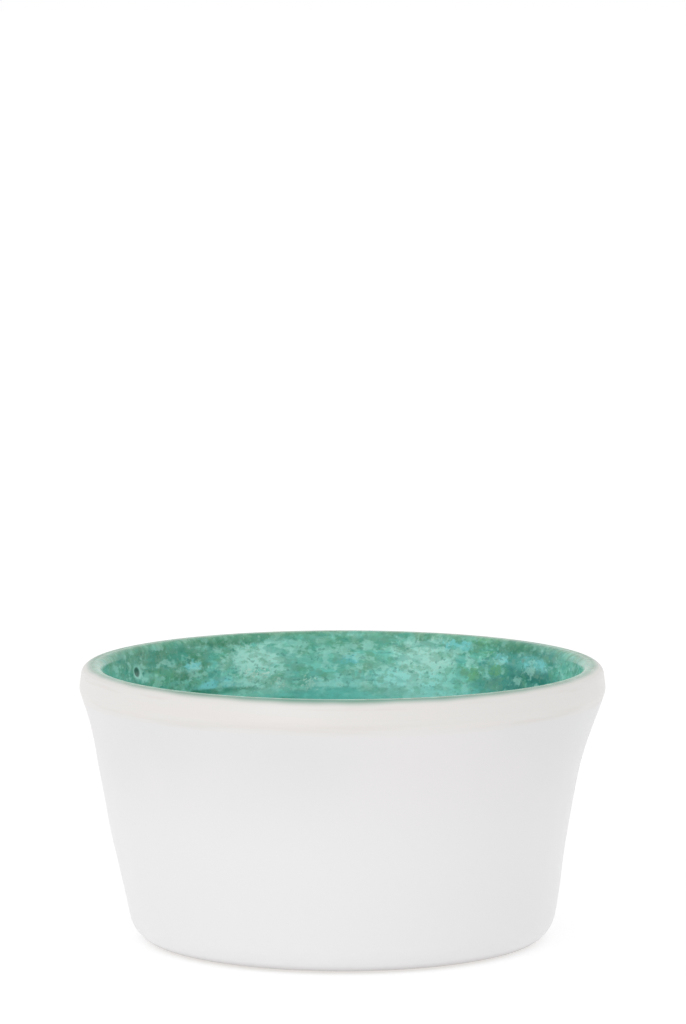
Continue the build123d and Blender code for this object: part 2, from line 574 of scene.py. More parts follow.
def speck_group():
    """Round specks: the cells of a Voronoi pattern whose centre is nearer than a size, kept where the
    cell's own chance colour falls under an amount. A second chance makes a speck larger or smaller by
    half, and it fades over the outer half of its own size."""
    group, given = new_group("specks", ("Spacing", FLOAT), ("Size", FLOAT), ("Amount", FLOAT))
    scale = worked(group, "DIVIDE", 1.0, given["Spacing"])
    cells = put(group, "ShaderNodeTexVoronoi", {"Vector": given["Place"], "Scale": scale})
    chance = put(group, "ShaderNodeSeparateColor", {0: cells.outputs["Color"]})
    kept = worked(group, "LESS_THAN", chance.outputs[0], given["Amount"])
    size = worked(group, "MULTIPLY", given["Size"], worked(group, "ADD", chance.outputs[1], 0.5))
    near = eased(group, cells.outputs["Distance"], size, worked(group, "MULTIPLY", size, 0.5))
    return end_group(group, given, worked(group, "MULTIPLY", kept, near))


def fading_group():
    """A colour that takes over along the section between two lengths, at an edge that wanders to both
    sides: by the noise less a half, times twice the wander."""
    group, given = new_group("fading edge", ("From", FLOAT), ("To", FLOAT), ("Wander", FLOAT))
    length = put(group, "ShaderNodeSeparateXYZ", {0: given["Place"]}).outputs["Z"]
    aside = worked(group, "SUBTRACT", noise(group, given["Place"], *FADING_NOISE), 0.5)
    edge = worked(group, "MULTIPLY_ADD", aside, worked(group, "MULTIPLY", given["Wander"], 2.0), length)
    return end_group(group, given, eased(group, edge, given["From"], given["To"]))


brushed, wash, specks, fading = brushed_group(), wash_group(), speck_group(), fading_group()


def laid(tree, group, place, ground, layers):
    """Lays a group's layers one on the other over a ground. Each layer has the values of the group's
    own inputs, a strength, which is a number or a mask, and a colour."""
    for values in layers:
        inputs = dict(enumerate((place, ground, *values)))
        ground = put(tree, "ShaderNodeGroup", inputs, node_tree=group).outputs["Colour"]
    return ground


def brushwork(tree, place, ground, masks, strokes):
    """Brushed layers, each at its strength within the mask that it names."""
    return laid(tree, brushed, place, ground, [
        (*stroke, worked(tree, "MULTIPLY", masks[within], strength), colour)
        for *stroke, within, strength, colour in strokes
    ])


# Lengths along the section, in millimetres, that the glazes go by
CREST = crest / MM
PART = parting / MM
WIDEST = widest / MM
HEEL_LINE = heel_line / MM
FLOOR_EDGE = floor_edge / MM

# Gloss of the glazes: how glassy the green ones are, how rough each is, and the soft clouds of the
# roughness (scale, detail, and how far it varies up and down)
GLOSS = 0.25
WALL_ROUGHNESS = 0.16
FLOOR_ROUGHNESS = 0.18
WHITE_ROUGHNESS = 0.35
GLOSS_CLOUDS = 0.15, 2.0
GLOSS_SPREAD = 0.2

# The green turns to satin over the crest
SATIN_ZONE = CREST - 1.5, CREST + 0.5
LIP_ROUGHNESS = 0.45

# Orange peel of the green glazes: scale and detail, and depth
PEEL = 0.3, 0.0
PEEL_DEPTH = 0.03 * MM

# The potter's colours, with some that carry painted shade, light or reflection as well
PALE_AQUA = paint(188, 250, 238)
# Painted glints
GLINT_CREAM = paint(214, 250, 236)
AQUA = paint(142, 226, 208)
TURQUOISE = paint(124, 228, 220)
SKY = paint(134, 226, 228)
# Partly pale glaze, partly painted reflection of the lights
PALE_TURQUOISE_AND_REFLECTION = paint(172, 248, 240)
BLUE = paint(100, 198, 204)
TEAL = paint(82, 178, 164)
DARK_TEAL = paint(50, 138, 126)
GREEN = paint(98, 178, 142)
DARK_GREEN = paint(58, 136, 100)
LEAF = paint(112, 186, 128)
# Partly the glaze's deep green, partly painted shade
DEEP_GREEN_AND_SHADE = paint(34, 98, 72)
PIT_GREEN = paint(48, 104, 88)
OLIVE_BROWN = paint(100, 132, 84)
RIM_BROWN = paint(104, 134, 98)
RIM_SAGE = paint(146, 204, 172)
LIGHT_LEAF = paint(142, 188, 140)
SAGE_BLUE = paint(128, 188, 184)
INK = paint(54, 62, 72)
SAGE = paint(122, 178, 154)
BROWN = paint(126, 142, 114)
EDGE_GREEN = paint(150, 170, 160)
EDGE_START = paint(114, 162, 144)
EDGE_BROWN = paint(204, 186, 178)
COOL_WHITE = paint(226, 226, 227)
CLOUD_WHITE = paint(230, 228, 228)
# Painted light: the white of the lower wall, as if lit from the floor below
BOUNCE_LIT_WHITE = paint(234, 233, 234)
LIP_WHITE = paint(228, 226, 223)
LIP_ROSE = paint(230, 218, 214)
STAIN_BEIGE = paint(212, 204, 196)
# Painted contact shade at the foot of the white glaze
FOOT_SHADE_GREY = paint(176, 172, 168)
DARK_CLAY = paint(196, 182, 162)
LIGHT_CLAY = paint(226, 216, 200)
# Painted contact shade on the clay
CLAY_SHADE_BROWN = paint(158, 144, 124)

# Where the green runs out over the lip: from and to, along the section, how far the edge wanders, and
# how much further in it lies towards +X and -X, and further out towards +Y
LIP_FADE = PART - 0.85, PART + 0.4, 0.2
LIP_FADE_INWARD = 1.0
LIP_FADE_OUTWARD = 0.8


def emptied(owner):
    """The node tree of a material or a world, without its nodes."""
    owner.use_nodes = True
    owner.node_tree.nodes.clear()
    return owner.node_tree


def new_material(name):
    """A node material with its Principled shader, the place on the glaze and the length along the
    section, both in millimetres."""
    material = bpy.data.materials.new(name)
    tree = emptied(material)
    shader = put(tree, "ShaderNodeBsdfPrincipled")
    put(tree, "ShaderNodeOutputMaterial", {"Surface": shader.outputs[0]})
    place = put(tree, "ShaderNodeAttribute", attribute_name="place").outputs["Vector"]
    length = put(tree, "ShaderNodeSeparateXYZ", {0: place}).outputs["Z"]
    return material, tree, shader, place, length


def object_place(tree):
    """The point on the piece itself, in millimetres."""
    spot = put(tree, "ShaderNodeTexCoord").outputs["Object"]
    return moved(tree, "DIVIDE", spot, (MM, MM, MM))


def lip_place(tree, place):
    """The place on the glaze, moved along the section: on by the square of its share towards +X or -X,
    and back by its share of the way from -Y to +Y."""
    across = measured(tree, "DOT_PRODUCT", place, (1 / PLACE_RADIUS, 0, 0))
    ahead = measured(tree, "DOT_PRODUCT", place, (0, 0.5 / PLACE_RADIUS, 0))
    inward = worked(tree, "MULTIPLY", worked(tree, "MULTIPLY", across, across), LIP_FADE_INWARD)
    outward = worked(tree, "MULTIPLY_ADD", ahead, LIP_FADE_OUTWARD, LIP_FADE_OUTWARD / 2)
    shift = put(tree, "ShaderNodeCombineXYZ", {"Z": worked(tree, "SUBTRACT", inward, outward)}).outputs[0]
    return moved(tree, "ADD", place, shift)


def uneven_gloss(tree, roughness):
    """A roughness that varies up and down in soft clouds."""
    return put(tree, "ShaderNodeMapRange", {
        "Value": noise(tree, object_place(tree), *GLOSS_CLOUDS),
        "To Min": roughness * (1 - GLOSS_SPREAD),
        "To Max": roughness * (1 + GLOSS_SPREAD),
    }).outputs[0]


def green_finish(tree, shader, colour, roughness):
    """The colour, roughness and glassy, softly peeled surface of a green glaze."""
    bump = put(tree, "ShaderNodeBump", {
        "Height": noise(tree, object_place(tree), *PEEL), "Strength": 1.0, "Distance": PEEL_DEPTH})
    feed(tree, shader, {
        "Base Color": colour, "Roughness": roughness, "Specular IOR Level": GLOSS,
        "Normal": bump.outputs[0]})


# Zones of the wall's coat, as lengths along the section: the dark wall with its fine lines, the
# mottled band under the rim, and the top of the rim
WALL_ZONES = {
    "wall": (30, 34, CREST - 17.5, CREST - 12.5),
    "band": (CREST - 15, CREST - 9, CREST - 3.5, CREST - 0.8),
    "rim": (CREST - 3.5, CREST - 0.8, PART - 1.1, PART - 0.7),
}

# The wall's ground colours: length along the section, red, green, blue
WALL_GROUND = (
    (FLOOR_EDGE - 3, 80, 156, 140),
    (34, 92, 164, 148),
    (44, 90, 166, 148),
    (54, 84, 166, 150),
    (CREST - 17, 86, 178, 164),
    (CREST - 14, 108, 212, 200),
    (CREST - 10.5, 132, 230, 218),
    (CREST - 6.5, 138, 224, 204),
    (CREST - 4, 112, 198, 172),
    (CREST - 2.3, 92, 168, 142),
    (CREST - 1, 84, 158, 132),
    (CREST + 1.5, 90, 158, 134),
)

# Uneven edges and drifts: the noise's size along each axis, its detail, gain and shift
WALL_DRIFT = (14, 14, 9), 3, 5, -2.5
RAGGED_EDGE = (2, 2, 1.1), 3, 2, -1
CRUMBLED_EDGE = (1.1, 1.1, 0.7), 2, 4, -2
GLINT_EDGE = (0.55, 0.55, 0.5), 2, 7, -2.9

# Strokes under the washes and over them: length and width, the pattern's shift, the two levels that it
# is cut between, grain, zone, strength and colour
UNDER_STROKES = (
    (24, 3.4, 3.1, 0.46, 0.68, 0.5, "coat", 0.45, DARK_GREEN),
    (28, 2.6, 7.7, 0.48, 0.68, 0.5, "coat", 0.35, TEAL),
    (13, 1.2, 11.7, 0.48, 0.62, 0.5, "band", 0.55, GREEN),
    (9, 2.6, 17.1, 0.5, 0.62, 0.6, "band", 0.55, SAGE),
    (7, 2.2, 23.9, 0.48, 0.6, 0.6, "band", 0.55, TURQUOISE),
    (5, 1.9, 29.3, 0.5, 0.62, 0.6, "band", 0.55, PALE_AQUA),
    (4, 2.4, 35.9, 0.48, 0.6, 0.6, "rim", 0.7, SAGE),
    (2.8, 2, 38.7, 0.44, 0.62, 0.6, "rim", 0.7, RIM_BROWN),
    (3.2, 1.2, 31.3, 0.5, 0.6, 0.5, "band", 0.55, GREEN),
    (2.6, 1.1, 41.9, 0.54, 0.64, 0.5, "band", 0.55, TEAL),
    (1.7, 1.2, 53.1, 0.52, 0.62, 0.5, "band", 0.55, AQUA),
    (1.1, 1.1, 57.3, 0.56, 0.66, 0.5, "band", 0.55, PALE_AQUA),
)
OVER_STROKES = (
    (3.8, 1.9, 45.1, 0.5, 0.59, 0.55, "band", 0.42, TEAL),
    (2.8, 1.8, 49.7, 0.52, 0.6, 0.55, "band", 0.42, SAGE),
    (2.6, 2, 75.1, 0.55, 0.62, 0.55, "band", 0.42, GREEN),
    (3, 1.8, 79.3, 0.54, 0.63, 0.55, "band", 0.42, PALE_AQUA),
    (1, 1.6, 33.7, 0.6, 0.7, 0.5, "band", 0.42, AQUA),
    (1, 0.8, 61.7, 0.6, 0.68, 0.5, "band", 0.42, DARK_TEAL),
    (1.7, 1.5, 65.3, 0.46, 0.6, 0.6, "rim", 0.5, RIM_SAGE),
    (1.3, 1.2, 69.1, 0.5, 0.62, 0.6, "rim", 0.5, DARK_GREEN),
    (30, 0.8, 1.3, 0.46, 0.62, 0.6, "wall", 0.7, DARK_TEAL),
    (24, 0.6, 5.9, 0.5, 0.66, 0.6, "wall", 0.7, AQUA),
    (34, 0.9, 19.7, 0.5, 0.66, 0.6, "wall", 0.7, BLUE),
    (12, 1.2, 71.3, 0.5, 0.68, 0.6, "wall", 0.7, DARK_GREEN),
    (5, 0.4, 87.3, 0.52, 0.62, 0.5, "wall", 0.7, DARK_GREEN),
    (4, 0.34, 83.9, 0.56, 0.66, 0.5, "wall", 0.7, AQUA),
)

# Washes of colour on the wall: azimuth, length under the crest, half sizes round and along the wall,
# strength and colour
WALL_WASH_SOFTNESS = 0.6
WALL_WASHES = (
    # The first wash is partly a deep green patch of the glaze and partly painted shade
    (112, 31, 28, 16, 0.65, DEEP_GREEN_AND_SHADE),
    (30, 22, 17, 14, 0.6, BLUE),
    (172, 28, 14, 10, 0.4, DARK_GREEN),
    (217, 22, 18, 14, 0.35, SAGE),
    (262, 26, 18, 14, 0.4, TURQUOISE),
    (307, 22, 14, 9, 0.3, TEAL),
    (352, 24, 14, 12, 0.3, BLUE),
    (232, 38, 20, 6, 0.4, AQUA),
)

# The same in the mottled band under the rim, where those of a half size under SMALL_WASH are crumbled
SMALL_WASH = 3
BAND_WASH_SOFTNESS = 0.45
BAND_WASHES = (
    (150, 6, 15, 8, 0.5, DARK_GREEN),
    (36, 7, 10, 8, 0.55, DARK_TEAL),
    (118, 2.4, 8, 0.9, 0.6, DARK_GREEN),
    (92, 3.8, 7, 1, 0.45, GREEN),
    (134, 4.2, 8, 1.3, 0.45, DARK_GREEN),
    # These six, pale on the back wall round azimuths 66 to 112, are partly the glaze's pale patches and
    # partly painted reflection of the lights
    (112, 6, 6, 2.2, 0.9, PALE_AQUA),
    (112, 10, 6, 2.2, 0.6, PALE_AQUA),
    (67, 6.2, 5.4, 2.8, 0.9, PALE_AQUA),
    (66, 10, 6, 1.6, 0.85, PALE_TURQUOISE_AND_REFLECTION),
    (76, 9.6, 4, 1.8, 0.9, PALE_TURQUOISE_AND_REFLECTION),
    (91, 10.4, 5, 1.5, 0.65, PALE_TURQUOISE_AND_REFLECTION),
    (95, 7, 6, 1.4, 0.55, AQUA),
    (82, 6.8, 3.4, 1.6, 0.45, GREEN),
    (94, 12.2, 6, 0.8, 0.6, TEAL),
    (131, 6.3, 1.7, 0.8, 0.9, SKY),
    (142, 7.4, 3.6, 1.2, 0.55, LEAF),
    (134, 7.9, 3, 0.9, 0.65, DARK_GREEN),
    (125, 9.9, 3.6, 1, 1, SKY),
    (124, 11.3, 8, 0.6, 0.75, DARK_GREEN),
    (137, 9.2, 2.6, 0.7, 0.55, AQUA),
    (150, 7, 3, 0.7, 0.6, AQUA),
    (166, 6, 4, 3, 0.35, AQUA),
    (118, 12.6, 7, 1.2, 0.7, AQUA),
    (91, 13, 6, 1.2, 0.5, TURQUOISE),
    # Partly pale glaze, partly painted reflection of the lights
    (66, 12.6, 6, 1.2, 0.6, PALE_TURQUOISE_AND_REFLECTION),
    (52, 11.2, 5, 1.2, 0.6, TURQUOISE),
    (58, 9.6, 4, 2.2, 0.5, AQUA),
    (88.5, 6.4, 1.6, 0.7, 1, SKY),
    (54, 8.2, 2, 1.1, 0.75, LEAF),
    (46, 6.6, 2, 1, 0.6, LEAF),
    (51, 2.8, 2.2, 1, 0.6, LEAF),
    (59.5, 3.3, 2.4, 0.8, 0.8, SKY),
    (42, 2.6, 7, 0.9, 0.6, DARK_GREEN),
    (45.5, 4.9, 1.4, 0.9, 0.9, SKY),
    (33.5, 5.3, 4.2, 1.3, 0.95, SKY),
    (33, 8.4, 7, 2.4, 0.9, DARK_TEAL),
    (48, 9.8, 5, 1.6, 0.5, DARK_TEAL),
    (16, 4, 4, 2, 0.5, AQUA),
    (85, 6.3, 0.6, 0.5, 0.6, DARK_TEAL),
)

# The same for patches of broken pale flecks: painted glints, the lights' reflection on the back wall broken
# into flecks
GLINT_SOFTNESS = 0.15
GLINT_FLECKS = (
    (112.5, 8.5, 2.3, 0.8, 0.75, GLINT_CREAM),
    (107, 9.9, 1, 1.4, 0.7, GLINT_CREAM),
    (98.5, 10.6, 1.2, 0.9, 0.6, GLINT_CREAM),
    (114, 6.4, 4.6, 3.4, 0.25, GLINT_CREAM),
    (68, 6.4, 4.6, 3.2, 0.3, GLINT_CREAM),
)

# The lap of the coat's two ends, a dark strip and a line at its edge: zones round the pot from the seam,
# and along the section
LAP_REACH = SEAM_OVERLAP * PLACE_RADIUS
LAP_STRIP = (-2 * LAP_REACH, -0.3 * LAP_REACH, -0.1, 0.1), (31.5, 33, CREST - 8, CREST - 5)
LAP_LINE = (-0.5, -0.2, -0.1, 0.1), (31.5, 33, CREST - 7, CREST - 4)
LAP_STRENGTH = 0.7

# Dark specks: spacing, size, share of them kept, strength and colour
WALL_SPECKS = (
    (2.3, 0.16, 0.2, 0.4, DARK_TEAL),
    (3.1, 0.12, 0.15, 0.4, BROWN),
)

# Each pit's pale halo and dark bottom: size over the pit's radius, strength and colour
PIT_SOFTNESS = 0.25
PIT_SPOTS = (1.4, 0.5, PALE_AQUA), (0.9, 0.9, PIT_GREEN)

# The green greys a little before it runs out over the lip: from and to, wander, strength and colour
GREYING = PART - 1.8, PART - 0.4, 0.3, 0.35, EDGE_GREEN


def band_place(azimuth, drop):
    """The place on the glaze at an azimuth in degrees and a length under the crest."""
    return PLACE_RADIUS * cos(radians(azimuth)), PLACE_RADIUS * sin(radians(azimuth)), CREST - drop


def lap_mask(tree, place, length):
    """The lap's strip and its line: zones of the way round the pot from the seam, on the seam's own side
    of it."""
    aside = measured(tree, "DOT_PRODUCT", place, (-sin(SEAM_AZIMUTH), cos(SEAM_AZIMUTH), 0))
    nearer = measured(tree, "DOT_PRODUCT", place, (cos(SEAM_AZIMUTH), sin(SEAM_AZIMUTH), 0))
    strip, line = (
        worked(tree, "MULTIPLY", zone(tree, aside, *across), zone(tree, length, *down))
        for across, down in (LAP_STRIP, LAP_LINE)
    )
    both = worked(tree, "MAXIMUM", strip, line)
    return worked(tree, "MULTIPLY", both, worked(tree, "GREATER_THAN", nearer, 0.0))


def sea_green_glaze():
    """The coloured coat of the wall and lip: dark and finely lined on the wall, mottled in lighter
    patches towards the lip, and a little greyer at its edge, where it runs out to white. On the back wall
    its pale washes are partly painted reflection of the lights and its pale flecks are painted glints;
    its deep green patch is partly painted shade."""
    material, tree, shader, place, length = new_material("sea_green_glaze")
    masks = dict(zones(tree, length, WALL_ZONES), coat=1.0)
    ragged = uneven(tree, place, *RAGGED_EDGE)
    crumbled = uneven(tree, place, *CRUMBLED_EDGE)
    glinting = uneven(tree, place, *GLINT_EDGE)
    colour = ramp(tree, worked(tree, "ADD", length, uneven(tree, place, *WALL_DRIFT)), WALL_GROUND)
    colour = brushwork(tree, place, colour, masks, UNDER_STROKES)
    for washes, softness, small_edge, edge in (
        (WALL_WASHES, WALL_WASH_SOFTNESS, ragged, ragged),
        (BAND_WASHES, BAND_WASH_SOFTNESS, crumbled, ragged),
        # Painted glints
        (GLINT_FLECKS, GLINT_SOFTNESS, glinting, glinting),
    ):
        colour = laid(tree, wash, place, colour, [
            (band_place(azimuth, drop), (across, across, down),
             small_edge if across < SMALL_WASH else edge, softness, *rest)
            for azimuth, drop, across, down, *rest in washes
        ])
    lap = worked(tree, "MULTIPLY", lap_mask(tree, place, length), LAP_STRENGTH)
    colour = mixed(tree, lap, colour, DARK_TEAL)
    colour = brushwork(tree, place, colour, masks, OVER_STROKES)
    colour = laid(tree, specks, place, colour, WALL_SPECKS)
    colour = laid(tree, wash, place, colour, [
        (band_place(azimuth / radians(1), drop / MM), (size * radius / MM,) * 3, 0.0, PIT_SOFTNESS, *rest)
        for azimuth, drop, radius in PITS
        for size, *rest in PIT_SPOTS
    ])
    edge_layers = GREYING, (*LIP_FADE, 1.0, LIP_WHITE)
    colour = laid(tree, fading, lip_place(tree, place), colour, edge_layers)
    satin = eased(tree, length, *SATIN_ZONE)
    roughness = worked(
        tree, "MULTIPLY_ADD", satin, LIP_ROUGHNESS - WALL_ROUGHNESS, uneven_gloss(tree, WALL_ROUGHNESS))
    green_finish(tree, shader, colour, roughness)
    return material


# The floor's ground colours in the same way, from its middle, and how far the rings drift: the noise's
# scale and detail, and its gain and shift
FLOOR_GROUND = (
    (0, 58, 72, 80),
    (3, 64, 92, 88),
    (5, 74, 112, 92),
    (8, 84, 122, 90),
    (11, 90, 132, 92),
    (14, 100, 148, 106),
    (17.5, 104, 162, 120),
    (20, 100, 162, 126),
    (22.5, 88, 154, 126),
    (25, 72, 142, 122),
    (27.5, 70, 142, 126),
    (FLOOR_EDGE, 80, 156, 140),
)
FLOOR_DRIFT = (0.06, 2.0), (3.0, -1.5)

# Washes on the floor: azimuth, distance from the middle, half size, strength and colour
FLOOR_LEVEL = (RECESS_DEPTH + FLOOR_THICKNESS + GLAZE_THICKNESS) / MM
FLOOR_WASH_EDGE = (0.12, 3.0), (1.6, -0.8)
FLOOR_WASH_SOFTNESS = 0.7
FLOOR_WASHES = (
    # The first wash is partly a deep green patch of the glaze and partly painted shade
    (108, 27, 13, 0.8, DEEP_GREEN_AND_SHADE),
    (85, 17, 8, 0.4, DARK_GREEN),
    (195, 18, 9, 0.5, LEAF),
    (232, 24, 11, 0.6, AQUA),
    (255, 27, 9, 0.4, SKY),
    (275, 12, 5, 0.45, OLIVE_BROWN),
    (300, 18, 8, 0.3, LEAF),
    (352, 17, 8, 0.6, LIGHT_LEAF),
    (325, 26, 8, 0.3, TEAL),
    (52, 25, 7, 0.55, DARK_GREEN),
    (20, 14, 7, 0.35, LEAF),
    (320, 1.5, 3.8, 0.8, INK),
)

# The floor's strokes lie round the dark middle, some of them only in patches (scale and detail, and
# levels), and its grit lies among them: sizes, shift, levels, grain, zone, strength and colour
RINGS_ZONE = 3, 7, FLOOR_EDGE - 3, FLOOR_EDGE
PATCHES = (0.09, 2.0), (0.3, 0.7)
FLOOR_STROKES = (
    (110, 2.1, 2.3, 0.46, 0.7, 0.5, "patches", 0.4, OLIVE_BROWN),
    (50, 1.1, 4.9, 0.46, 0.68, 0.6, "rings", 0.3, DARK_GREEN),
    (30, 0.7, 9.1, 0.5, 0.66, 0.7, "patches", 0.25, LIGHT_LEAF),
    (24, 0.4, 13.7, 0.5, 0.64, 0.7, "rings", 0.25, DARK_TEAL),
)
FLOOR_GRIT = (
    (1.5, 1.5, 3.7, 0.48, 0.68, 0.6, "rings", 0.3, DARK_GREEN),
    (1.1, 1.1, 8.9, 0.52, 0.72, 0.6, "rings", 0.25, LIGHT_LEAF),
    (0.9, 0.9, 14.3, 0.54, 0.74, 0.6, "rings", 0.2, SAGE_BLUE),
)

# Lines left on the floor by the turning: where they break (scale and detail, and levels), and each one's
# radius, half width, strength and colour
BREAKS = (0.3, 3.0), (0.3, 0.6)
FLOOR_LINES = (
    (7.4, 0.5, 0.4, LIGHT_LEAF),
    (8.6, 0.6, 0.25, DARK_GREEN),
    (10.6, 0.6, 0.5, LIGHT_LEAF),
    (12.6, 0.9, 0.4, OLIVE_BROWN),
    (13.9, 0.45, 0.2, LIGHT_LEAF),
    (15.7, 0.8, 0.5, LIGHT_LEAF),
    (16.8, 0.45, 0.45, DARK_GREEN),
    (17.6, 0.45, 0.25, LIGHT_LEAF),
    (19.4, 0.45, 0.2, AQUA),
    (21.3, 0.4, 0.2, LEAF),
    (23.6, 0.45, 0.25, DARK_GREEN),
    (26.2, 0.7, 0.35, DARK_TEAL),
    (28.8, 1.6, 0.3, SAGE_BLUE),
)


def ringed_green_glaze():
    """The floor's coat: soft rings of green and olive round a dark middle, teal towards the corner."""
    material, tree, shader, place, length = new_material("ringed_green_glaze")
    spot = object_place(tree)
    drift, ragged = (
        worked(tree, "MULTIPLY_ADD", noise(tree, spot, *grain), *gain)
        for grain, gain in (FLOOR_DRIFT, FLOOR_WASH_EDGE)
    )
    patches, breaks = (
        eased(tree, noise(tree, spot, *grain), *levels) for grain, levels in (PATCHES, BREAKS))
    drifted = worked(tree, "ADD", length, drift)
    colour = ramp(tree, drifted, FLOOR_GROUND)
    colour = laid(tree, wash, spot, colour, [
        ((out * cos(radians(azimuth)), out * sin(radians(azimuth)), FLOOR_LEVEL), (size, size, size),
         ragged, FLOOR_WASH_SOFTNESS, *rest)
        for azimuth, out, size, *rest in FLOOR_WASHES
    ])
    rings = zone(tree, length, *RINGS_ZONE)
    masks = {"rings": rings, "patches": worked(tree, "MULTIPLY", rings, patches)}
    colour = brushwork(tree, place, colour, masks, FLOOR_STROKES)
    for radius, half_width, strength, line_colour in FLOOR_LINES:
        near = zone(tree, drifted, radius - half_width, radius, radius, radius + half_width)
        share = worked(tree, "MULTIPLY", worked(tree, "MULTIPLY", near, breaks), strength)
        colour = mixed(tree, share, colour, line_colour)
    colour = brushwork(tree, spot, colour, masks, FLOOR_GRIT)
    green_finish(tree, shader, colour, uneven_gloss(tree, FLOOR_ROUGHNESS))
    return material


# The white glaze: faint clouds (scale and detail, and levels), a body painted lighter down the wall as if
# lit from the floor below, the warmer lip, the stains in the groove under it, a brown line past the green's
# edge, and a painted contact shade at the foot
WHITE_CLOUDS = (0.03, 2.0), (0.35, 0.65)
BOUNCE_LIGHT_ZONE = WIDEST + 4, WIDEST + 26
WHITE_ZONES = {
    "lip": (PART - 1, PART, WIDEST + 0.4, WIDEST + 2.8),
    "stain": (WIDEST - 0.2, WIDEST + 0.7, WIDEST + 1.2, WIDEST + 2.2),
    "line": (PART + 0.2, PART + 0.5, PART + 0.6, PART + 1),
    # The foot zone carries a painted contact shade, where the wall comes down to the floor
    "foot": (HEEL_LINE - 2.4, HEEL_LINE - 0.2, HEEL_LINE + 1, HEEL_LINE + 2),
}
LIP_STRENGTH = 0.85
FOOT_SHADE_STRENGTH = 0.6
WHITE_STROKES = (
    (18, 1.4, 3.3, 0.42, 0.7, 0.5, "stain", 0.25, STAIN_BEIGE),
    (24, 2.6, 8.3, 0.42, 0.72, 0.5, "lip", 0.2, LIP_ROSE),
    (14, 1, 27.3, 0.5, 0.62, 0.5, "line", 0.15, EDGE_BROWN),
)


def white_glaze():
    """The outer and the foot coat: off-white, painted lighter down the wall as if lit from the floor,
    warmer on the lip, with faint beige stains along the groove under it, and painted darker at the foot as
    contact shade. It starts in the green of the coloured coat's edge."""
    material, tree, shader, place, length = new_material("white_glaze")
    grain, levels = WHITE_CLOUDS
    clouds = eased(tree, noise(tree, object_place(tree), *grain), *levels)
    masks = zones(tree, length, WHITE_ZONES)
    lip = worked(tree, "MULTIPLY", masks["lip"], LIP_STRENGTH)
    # Painted contact shade: the white darkens towards the foot
    foot = worked(tree, "MULTIPLY", masks["foot"], FOOT_SHADE_STRENGTH)
    colour = mixed(tree, clouds, COOL_WHITE, CLOUD_WHITE)
    # Painted light: the wall turns lighter towards the foot, as if lit from the floor below
    colour = mixed(tree, eased(tree, length, *BOUNCE_LIGHT_ZONE), colour, BOUNCE_LIT_WHITE)
    colour = mixed(tree, lip, colour, LIP_WHITE)
    colour = brushwork(tree, place, colour, masks, WHITE_STROKES)
    colour = mixed(tree, foot, colour, FOOT_SHADE_GREY)
    colour = laid(tree, fading, lip_place(tree, place), EDGE_START, [(*LIP_FADE, 1.0, colour)])
    feed(tree, shader, {"Base Color": colour, "Roughness": uneven_gloss(tree, WHITE_ROUGHNESS)})
    return material


# The clay: its grain and its broad clouds (scale and detail), how deep the grain is, how rough the clay
# is, and where shade is painted on it, next to the floor
CLAY_GRAIN = 1.5, 5.0
CLAY_CLOUDS = 0.12, 3.0
GRAIN_DEPTH = 0.1 * MM
GRAIN_STRENGTH = 0.5
CLAY_ROUGHNESS = 0.85
CLAY_SHADE_ZONE = HEEL_LINE - 1, HEEL_LINE, HEEL_LINE + 0.8, HEEL_LINE + 2.4
CLAY_SHADE_STRENGTH = 0.75


def bare_stoneware():
    """The unglazed clay of the foot ring: warm, matt and finely grained, and painted darker where it
    turns up to the glaze, as contact shade. Its shade is the mean of the grain and the clouds."""
    material, tree, shader, _, length = new_material("bare_stoneware")
    spot = object_place(tree)
    grain = noise(tree, spot, *CLAY_GRAIN)
    clouds = noise(tree, spot, *CLAY_CLOUDS)
    shade = worked(tree, "MULTIPLY_ADD", grain, 0.5, worked(tree, "MULTIPLY", clouds, 0.5))
    # Painted shade: the clay darkens where it turns up to the glaze, next to the floor
    clay_shade = worked(tree, "MULTIPLY", zone(tree, length, *CLAY_SHADE_ZONE), CLAY_SHADE_STRENGTH)
    colour = mixed(tree, clay_shade, mixed(tree, shade, DARK_CLAY, LIGHT_CLAY), CLAY_SHADE_BROWN)
    bump = put(tree, "ShaderNodeBump", {
        "Height": grain, "Strength": GRAIN_STRENGTH, "Distance": GRAIN_DEPTH})
    feed(tree, shader, {"Base Color": colour, "Roughness": CLAY_ROUGHNESS, "Normal": bump.outputs[0]})
    return material


# The pieces, each with the solid that it replaces and the slot of its finish
white = white_glaze()
pieces = (
    (clay_piece("stoneware_clay"), "stoneware_body", "bare_stoneware", bare_stoneware()),
    (coat("wall_glaze_coat", floor_edge, parting, WALL_RINGS, inside_marks),
     "wall_glaze", "sea_green_glaze", sea_green_glaze()),
    (coat("floor_glaze_coat", 0, floor_edge, FLOOR_RINGS, inside_marks),
     "floor_glaze", "ringed_green_glaze", ringed_green_glaze()),
    (coat("outer_glaze_coat", parting, heel_line, OUTER_RINGS, outside_marks, heel_line),
     "outer_glaze", "white_glaze", white),
    (coat("foot_glaze_coat", recess_line, end, FOOT_RINGS, no_marks, recess_line),
     "foot_glaze", "white_glaze", white),
)
for piece, node, slot, material in pieces:
    piece.data.materials.append(material)
    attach(piece, "root")
    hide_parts(node)


# The studio: a floor that glows a little, like a light table, an even surround and one soft lamp
WHITE = (1, 1, 1, 1)
FLOOR_RADIUS = 30.0
FLOOR_CORNERS = 96
FLOOR_DROP = 0.05 * MM
FLOOR_SHADE = 0.5
FLOOR_GLOW = 0.50
FLOOR_SEEN_GLOW = 0.10
SURROUND_LIGHT = 0.87
LAMP_SIZE = 0.7
LAMP_POWER = 1.7
LAMP_PLACE = (-0.50, -1.0, 0.34)
LAMP_AIM = (0, 0, 0.02)


def seen_or_mirrored(tree):
    """1 for what the camera sees, itself or mirrored in a surface, and 0 for what only lights."""
    path = put(tree, "ShaderNodeLightPath")
    return worked(tree, "MAXIMUM", path.outputs["Is Camera Ray"], path.outputs["Is Glossy Ray"])


